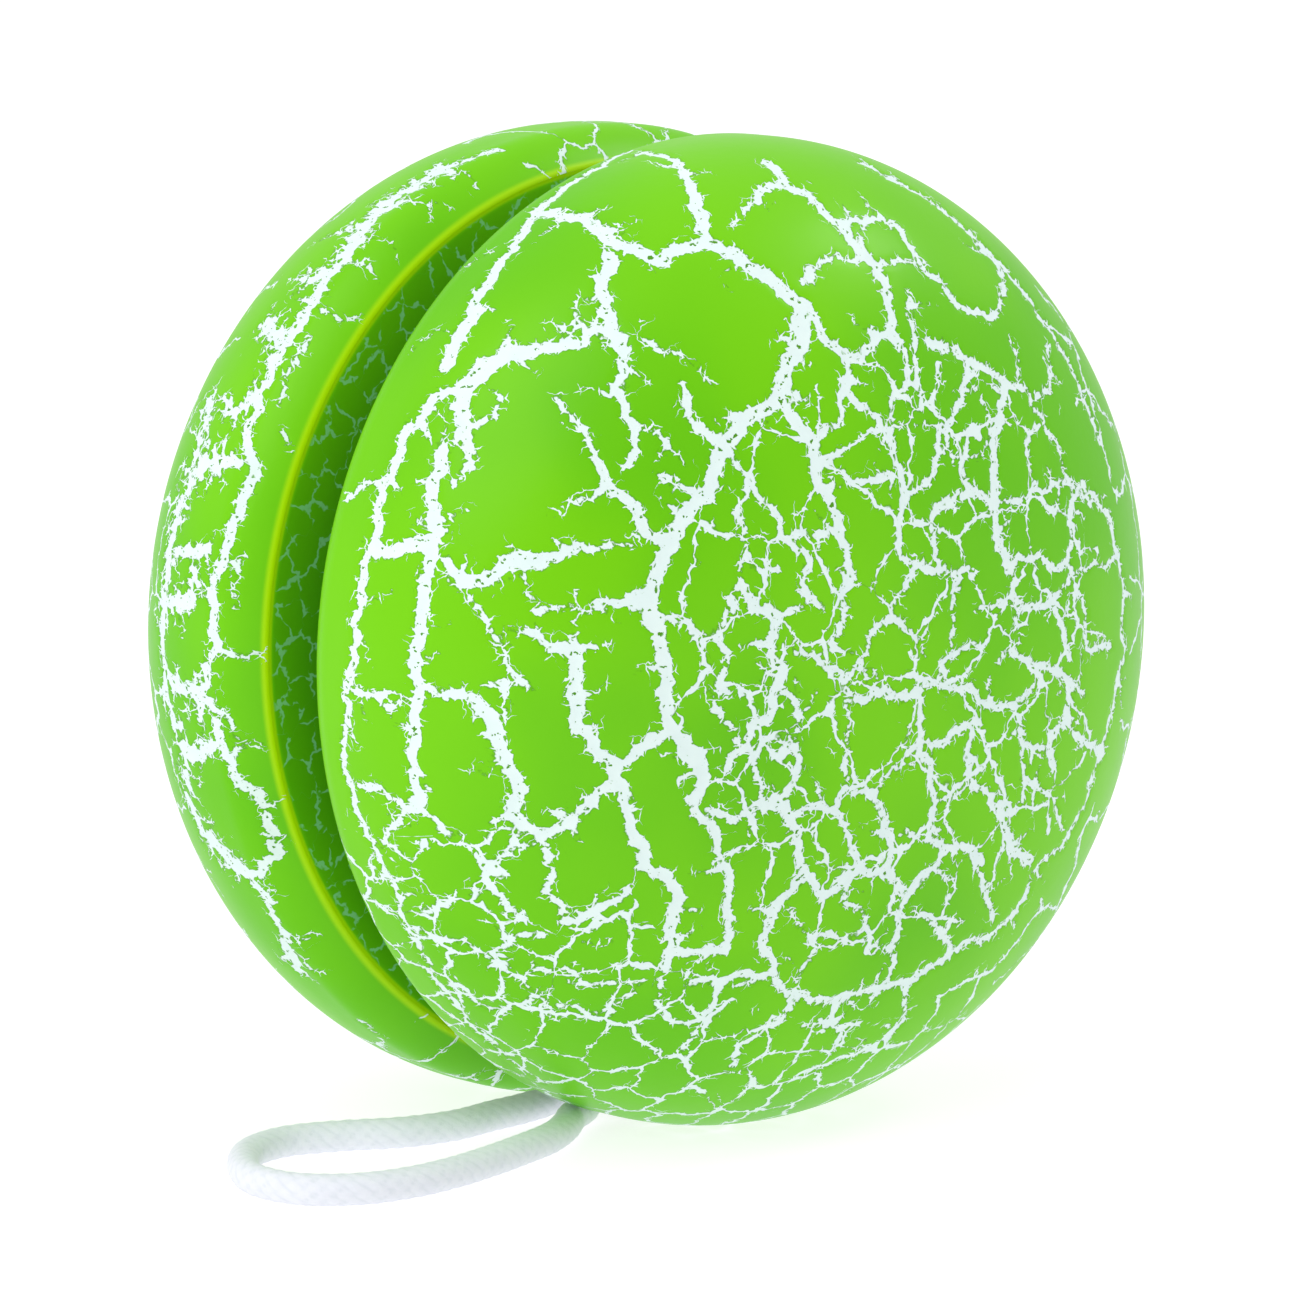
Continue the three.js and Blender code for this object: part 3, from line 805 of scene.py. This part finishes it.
def wall_cracks(graph, unrolled, from_lip):
    """Thin, faint cracks in patches near the lip, for the flat inner faces. 1 is a crack."""
    web = crack_web(graph, unrolled, WALL_CELL, 1.6, 1.2)
    patches = graph.ramp(graph.noise(unrolled, 0.9, 2.0), 0.4, 0.56)
    near = graph.ramp(from_lip, -7.0, -1.0, 0.3, 1.0)
    half_width = graph.math("MULTIPLY", graph.math("MULTIPLY", patches, near), WALL_HALF_WIDTH)
    return graph.ramp(graph.math("SUBTRACT", web, half_width), -0.05, 0.02, 1.0, 0.0)


def edge_growth(graph, unrolled):
    """How much farther the paint reaches at a torn edge, in millimetres.

    Along the lines of a small web it has split further, and between them it has held on."""
    web = crack_web(graph, unrolled, SPUR_CELL, 1.6, 1.0)
    spur = graph.math("MULTIPLY", graph.math("POWER", web, SPUR_POWER), SPUR_SLOPE)
    length = graph.ramp(graph.noise(unrolled, 0.9, 1.0), 0.38, 0.62, 0.0, LONGEST_SPUR)
    spur = graph.math("SUBTRACT", spur, length)
    nick = graph.math("MULTIPLY", crack_web(graph, unrolled, NICK_CELL, 2.0, 0.6), NICK_SLOPE)
    nick = graph.math("SUBTRACT", nick, NICK_DEPTH)
    return graph.math("MINIMUM", spur, graph.math("MINIMUM", nick, HELD_ON))


def torn_paint(graph, unrolled):
    """Distance in millimetres from the torn edge into the paint. It is below 0 in a crack."""
    noise = graph.noise(unrolled, 1.8, 3.0, 0.55)
    wobble = graph.math("MULTIPLY_ADD", noise, WOBBLE, -WOBBLE / 2)
    fine_wobble = graph.math("MULTIPLY", wobble, FINE_WOBBLE)
    fine = graph.math("ADD", fine_cracks(graph, unrolled), fine_wobble)
    main = graph.math("ADD", graph.values("crack_gap"), wobble)
    gap = graph.math("MINIMUM", main, fine)
    return graph.math("ADD", gap, edge_growth(graph, unrolled))


def left_over_paint(graph, unrolled):
    """Flakes of paint that are left in the widest cracks. 1 is a flake."""
    flakes = graph.ramp(graph.noise(unrolled, 2.4, 2.0, 0.6), 0.62, 0.64)
    inside = graph.ramp(graph.values("crack_gap"), -0.12, -0.2)
    return graph.math("MULTIPLY", flakes, inside)


def green_tones(graph, where, from_lip, on_wall, darkened):
    """The paint's green: darker at torn edges; at the lip a yellower line, partly thinner paint and
    partly a painted highlight; on the inner face painted shade, darker away from the lip.
    """
    blend = graph.ramp(graph.noise(where, 0.06, 2.0), 0.35, 0.65)
    green = graph.mix(blend, colour(BRIGHT_GREEN), colour(DEEP_GREEN))
    green = graph.mix(darkened, green, colour(EDGE_GREEN))
    # the lip line: partly thinner paint, partly a painted highlight along the edge
    lip_start = graph.ramp(from_lip, -0.3, -0.1)
    lip_thin_paint_and_highlight = graph.math("MULTIPLY", lip_start, graph.ramp(from_lip, 0.5, 0.15))
    green = graph.mix(lip_thin_paint_and_highlight, green, colour(LIP_THIN_PAINT_AND_HIGHLIGHT_GREEN))
    # painted shade on the inner face of the groove, darker away from the lip
    wall_painted_shade = graph.math("MULTIPLY", on_wall, graph.ramp(from_lip, -5.0, -0.4, 0.85, 0.35))
    return graph.mix(wall_painted_shade, green, colour(WALL_SHADE_GREEN))


def crackle_paint():
    """Glossy green paint that has torn open over a white base coat."""
    graph = Graph("crackle_paint")
    where = graph.millimetres()
    unrolled = graph.node("CombineXYZ", X=graph.values("unrolled_x"), Y=graph.values("unrolled_z"))
    unrolled = unrolled.outputs["Vector"]
    from_lip = graph.values("from_lip")
    on_wall = graph.ramp(from_lip, -0.15, -0.45)

    torn = torn_paint(graph, unrolled)
    left_over = left_over_paint(graph, unrolled)
    paint = graph.ramp(torn, -TORN_SHARPNESS, TORN_SHARPNESS)
    paint = graph.math("MAXIMUM", paint, left_over)
    darkened = graph.ramp(torn, 0.0, 0.08, 0.5, 0.0)
    darkened = graph.math("MAXIMUM", darkened, graph.math("MULTIPLY", left_over, 0.7))
    green = green_tones(graph, where, from_lip, on_wall, darkened)
    base = graph.mix(graph.noise(where, 0.9, 3.0), colour(BASE_COAT), colour(LIGHT_BASE_COAT))
    skin = graph.mix(paint, base, green)
    lines = graph.math("MULTIPLY", wall_cracks(graph, unrolled, from_lip), on_wall)
    skin = graph.mix(graph.math("MULTIPLY", lines, 0.6), skin, colour(WALL_CRACK))

    grain = graph.noise(where, 1.1, 4.0, 0.6)
    height = graph.math("ADD", graph.math("MULTIPLY", paint, 0.05), graph.math("MULTIPLY", grain, 0.02))
    gloss = graph.ramp(paint, 0, 1, 0.6, 0.34)
    return graph.finish(
        Base_Color=skin,
        Roughness=graph.math("ADD", gloss, graph.math("MULTIPLY", grain, 0.06)),
        Normal=graph.bump(height, 0.6, MM),
        Specular_IOR_Level=0.14,
        Coat_Weight=0.03,
        Coat_Roughness=0.2,
    )


def braided_cotton():
    """Soft white cotton with painted shade between the strands, and fine fibres along them."""
    graph = Graph("braided_cotton")
    where = graph.millimetres()
    fibres = graph.noise(where, 9.0, 4.0, 0.7)
    # painted shade: darker colour where the braid lies low between the strands
    painted_shade = graph.ramp(graph.values("relief"), 0.05, 0.7, 0.3, 0.0)
    white = graph.mix(graph.noise(where, 1.2, 2.0), colour(COTTON), colour(LIGHT_COTTON))
    return graph.finish(
        Base_Color=graph.mix(painted_shade, white, colour(COTTON_PAINTED_SHADE)),
        Roughness=graph.ramp(fibres, 0.2, 0.8, 0.8, 0.98),
        Normal=graph.bump(fibres, 0.5, 0.06 * MM),
        Sheen_Weight=0.4,
        Sheen_Roughness=0.5,
        Specular_IOR_Level=0.2,
    )


def birch_dowel():
    """Pale wood with its grain along the spin axis."""
    graph = Graph("birch_dowel")
    where = graph.millimetres()
    stretched = graph.node("Mapping", Vector=where, Scale=(1.0, 0.12, 1.0)).outputs["Vector"]
    grain = graph.noise(stretched, 1.6, 5.0, 0.65)
    wood = graph.mix(graph.ramp(grain, 0.35, 0.65), colour(WOOD), colour(LIGHT_WOOD))
    return graph.finish(Base_Color=wood, Roughness=0.65, Normal=graph.bump(grain, 0.3, 0.1 * MM))


def pale_floor():
    graph = Graph("pale_floor")
    where = graph.millimetres()
    tone = graph.mix(graph.noise(where, 0.02, 2.0), colour(FLOOR_GREY), colour(LIGHT_FLOOR_GREY))
    glow = {"Emission_Color": WHITE, "Emission_Strength": FLOOR_GLOW}
    return graph.finish(Base_Color=tone, Roughness=0.9, **glow)


# The string


def evenly(line, step):
    """Points at even steps along a line of points."""
    along = lengths_along(line)
    places = np.linspace(0, along[-1], max(int(along[-1] / step), 4) + 1)
    return np.stack([np.interp(places, along, line[:, axis]) for axis in range(3)], axis=-1)


def catmull_rom(corners, step):
    """Points at even steps along a smooth line through the corners."""
    corners = [Vector(c) for c in corners]
    first = 2 * corners[0] - corners[1]
    last = 2 * corners[-1] - corners[-2]
    corners = [first, *corners, last]
    dense = []
    for p0, p1, p2, p3 in zip(corners, corners[1:], corners[2:], corners[3:]):
        t1 = (p1 - p0).length ** 0.5
        t2 = t1 + (p2 - p1).length ** 0.5
        t3 = t2 + (p3 - p2).length ** 0.5
        for t in np.linspace(t1, t2, POINTS_IN_SPAN, endpoint=False):
            a1 = p0 * ((t1 - t) / t1) + p1 * (t / t1)
            a2 = p1 * ((t2 - t) / (t2 - t1)) + p2 * ((t - t1) / (t2 - t1))
            a3 = p2 * ((t3 - t) / (t3 - t2)) + p3 * ((t - t2) / (t3 - t2))
            b1 = a1 * ((t2 - t) / t2) + a2 * (t / t2)
            b2 = a2 * ((t3 - t) / (t3 - t1)) + a3 * ((t - t1) / (t3 - t1))
            dense.append(b1 * ((t2 - t) / (t2 - t1)) + b2 * ((t - t1) / (t2 - t1)))
    dense.append(corners[-2])
    return evenly(np.array(dense), step)


def turn_places():
    """Radius and station of each turn of the winding, layer upon layer."""
    places = []
    half = TURN_SPACING / 2
    for layer in range(LAYER_COUNT):
        radius = FIRST_LAYER_RADIUS + layer * LAYER_PITCH
        stations = (-half, half) if layer % 2 == 0 else (half, -half)
        places += [(radius, station) for station in stations]
    return places


def round_axis(radius, angle, station):
    return (radius * math.cos(angle), station, radius * math.sin(angle))


def wound_line():
    """The turns of the string, from the end round the axle to the point where the last turn leaves."""
    places = turn_places()
    last_radius, last_station = places[-1]
    knot_angle = math.atan2(KNOT_CENTRE.z, KNOT_CENTRE.x)
    leaving_angle = knot_angle + math.acos(last_radius / KNOT_CENTRE.length)
    total = len(places) + 1
    fractions = [number / POINTS_IN_TURN for number in range(POINTS_IN_TURN)]
    line = []
    for fraction in fractions:
        angle = leaving_angle + FULL_TURN * (total - fraction)
        line.append(round_axis(AXLE_TURN_RADIUS, angle, TURN_SPACING * (0.5 - fraction)))
    before = (AXLE_TURN_RADIUS, -TURN_SPACING / 2)
    for turn, place in enumerate(places, start=1):
        for fraction in fractions:
            angle = leaving_angle + FULL_TURN * (total - turn - fraction)
            blend = smooth_step(fraction, 0, CHANGE_OF_TURN)
            radius = before[0] + (place[0] - before[0]) * blend
            station = before[1] + (place[1] - before[1]) * blend
            line.append(round_axis(radius, angle, station))
        before = place
    line.append(round_axis(last_radius, leaving_angle, last_station))
    return np.array(line)


def string_line():
    """The whole string: its turns, straight down into the knot, round the finger loop and back."""
    wound = wound_line()
    leaving = Vector(wound[-1])
    middle = leaving.lerp(KNOT_CENTRE, 0.5)
    free = [leaving, middle, KNOT_CENTRE, *LOOP_ROUTE, KNOT_CENTRE]
    return np.concatenate([evenly(wound, WOUND_STEP)[:-1], catmull_rom(free, FREE_STEP)])


def braid_height(around, along):
    """Height of the braid's surface, 0 to 1, by place round it (in turns) and along it (in metres)."""
    rightward = STRANDS * around + along / BRAID_PITCH * 2
    leftward = STRANDS * around - along / BRAID_PITCH * 2
    over = (np.floor(rightward) + np.floor(leftward)) % 2 == 0
    across = np.where(over, rightward % 1, leftward % 1)
    onward = np.where(over, leftward % 1, rightward % 1)
    return np.sin(math.pi * across) ** 0.7 * (0.45 + 0.55 * np.sin(math.pi * onward))


def tube_faces(rings, sides, closed):
    faces = []
    for ring in range(rings if closed else rings - 1):
        here = ring * sides
        there = (ring + 1) % rings * sides
        for side in range(sides):
            following = (side + 1) % sides
            faces.append((here + side, here + following, there + following, there + side))
    if not closed:
        faces.append(tuple(range(sides))[::-1])
        faces.append(tuple(range((rings - 1) * sides, rings * sides)))
    return faces


def make_cord(name, line, radius, sides, closed=False):
    """A braided tube along a line of points."""
    tangents = np.gradient(line, axis=0)
    if closed:
        tangents = np.roll(line, -1, axis=0) - np.roll(line, 1, axis=0)
    tangents /= np.linalg.norm(tangents, axis=1, keepdims=True)
    around = np.arange(sides) / sides
    turn = around * FULL_TURN
    side_way = np.cross(tangents[0], [0, 1, 0.001])
    vertices = []
    relief = []
    for point, tangent, distance in zip(line, tangents, lengths_along(line)):
        side_way = side_way - tangent * side_way.dot(tangent)
        side_way /= np.linalg.norm(side_way)
        up_way = np.cross(tangent, side_way)
        height = braid_height(around, distance)
        out = radius - BRAID_RELIEF * (1 - height)
        ring = np.outer(np.cos(turn) * out, side_way) + np.outer(np.sin(turn) * out, up_way)
        vertices.append(point + ring)
        relief.append(height)
    cord = object_from(name, np.concatenate(vertices), tube_faces(len(line), sides, closed))
    add_values(cord, "relief", np.concatenate(relief))
    return cord


def make_knot():
    """A small overhand knot, its shape a trefoil lying along the string that comes down to it."""
    turn = np.linspace(0, FULL_TURN, KNOT_POINTS, endpoint=False)
    trefoil = [
        np.sin(turn) + 2 * np.sin(2 * turn),
        np.sin(3 * turn),
        np.cos(turn) - 2 * np.cos(2 * turn),
    ]
    onward = np.array((KNOT_CENTRE - Vector(wound_line()[-1])).normalized())
    across = np.array([0, 1, 0])
    line = np.array(KNOT_CENTRE)
    ways = (onward, across, np.cross(onward, across))
    for shape, reach, half_size, way in zip(trefoil, TREFOIL_REACH, KNOT_HALF_SIZES, ways):
        line = line + np.outer(shape / reach * (half_size - KNOT_CORD_RADIUS), way)
    return make_cord("finger_loop_knot", line, KNOT_CORD_RADIUS, KNOT_SIDES, closed=True)


# The stage


def direction(azimuth, elevation):
    """A unit vector from two angles in degrees."""
    azimuth *= DEGREE
    elevation *= DEGREE
    flat = math.cos(elevation)
    return Vector((flat * math.sin(azimuth), -flat * math.cos(azimuth), math.sin(elevation)))


def look_at(obj, target):
    obj.rotation_euler = (target - obj.location).to_track_quat("-Z", "Y").to_euler()


def make_camera():
    data = bpy.data.cameras.new("camera")
    data.lens = CAMERA_LENS
    data.sensor_width = SENSOR_WIDTH
    data.clip_start = CLIP_START
    camera = bpy.data.objects.new("camera", data)
    camera.location = CAMERA_AIM + direction(CAMERA_AZIMUTH, CAMERA_ELEVATION) * CAMERA_DISTANCE
    look_at(camera, CAMERA_AIM)
    bpy.context.scene.collection.objects.link(camera)
    bpy.context.scene.camera = camera


def soft_light(name, azimuth, elevation, size, watts):
    data = bpy.data.lights.new(name, "AREA")
    data.shape = "DISK"
    data.size = size
    data.energy = watts
    light = bpy.data.objects.new(name, data)
    light.location = direction(azimuth, elevation) * LIGHT_DISTANCE
    look_at(light, Vector((0, 0, 0)))
    bpy.context.scene.collection.objects.link(light)


def studio_world():
    """White all round, but dim on the side where the room is empty, in front and to the left."""
    world = bpy.data.worlds.new("studio")
    world.use_nodes = True
    tree = world.node_tree
    towards = tree.nodes.new("ShaderNodeTexCoord")
    facing = tree.nodes.new("ShaderNodeVectorMath")
    facing.operation = "DOT_PRODUCT"
    facing.inputs[1].default_value = direction(DIM_AZIMUTH, DIM_ELEVATION)
    dimming = tree.nodes.new("ShaderNodeMapRange")
    dimming.interpolation_type = "SMOOTHSTEP"
    for socket, value in DIMMING.items():
        dimming.inputs[socket].default_value = value
    background = tree.nodes["Background"]
    background.inputs["Color"].default_value = WHITE
    tree.links.new(towards.outputs["Generated"], facing.inputs[0])
    tree.links.new(facing.outputs["Value"], dimming.inputs["Value"])
    tree.links.new(dimming.outputs["Result"], background.inputs["Strength"])
    return world


def make_stage():
    far = FLOOR_REACH
    corners = [(-far, -far, FLOOR), (far, -far, FLOOR), (far, far, FLOOR), (-far, far, FLOOR)]
    floor = object_from("floor", corners, [(0, 1, 2, 3)], smooth=False)
    floor.data.materials.append(pale_floor())
    bpy.context.scene.world = studio_world()
    bpy.context.scene.view_settings.view_transform = "Standard"
    for light in LIGHTS:
        soft_light(*light)


# Putting it together

make_camera()
cotton = braided_cotton()
line = string_line()
cord = make_cord("braided_string", line, CORD_RADIUS, CORD_SIDES)
knot = make_knot()
for piece in (cord, knot):
    piece.data.materials.append(cotton)
    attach(piece, "string")
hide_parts(*STRING_NODES)
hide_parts("loop_knot")

paint = crackle_paint()
for node, side, routes, cells, seed in (
    ("front_half", -1, FRONT_CRACKS, FRONT_CELLS, 7),
    ("rear_half", 1, REAR_CRACKS, REAR_CELLS, 11),
):
    surface = crack_pattern(side, routes, cells, seed)
    half = make_half(node.replace("half", "painted_half"), side, surface)
    half.data.materials.append(paint)
    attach(half, "spool")
    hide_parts(node)

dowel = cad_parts["axle_dowel"]
dowel.data.materials.clear()
dowel.data.materials.append(birch_dowel())

make_stage()
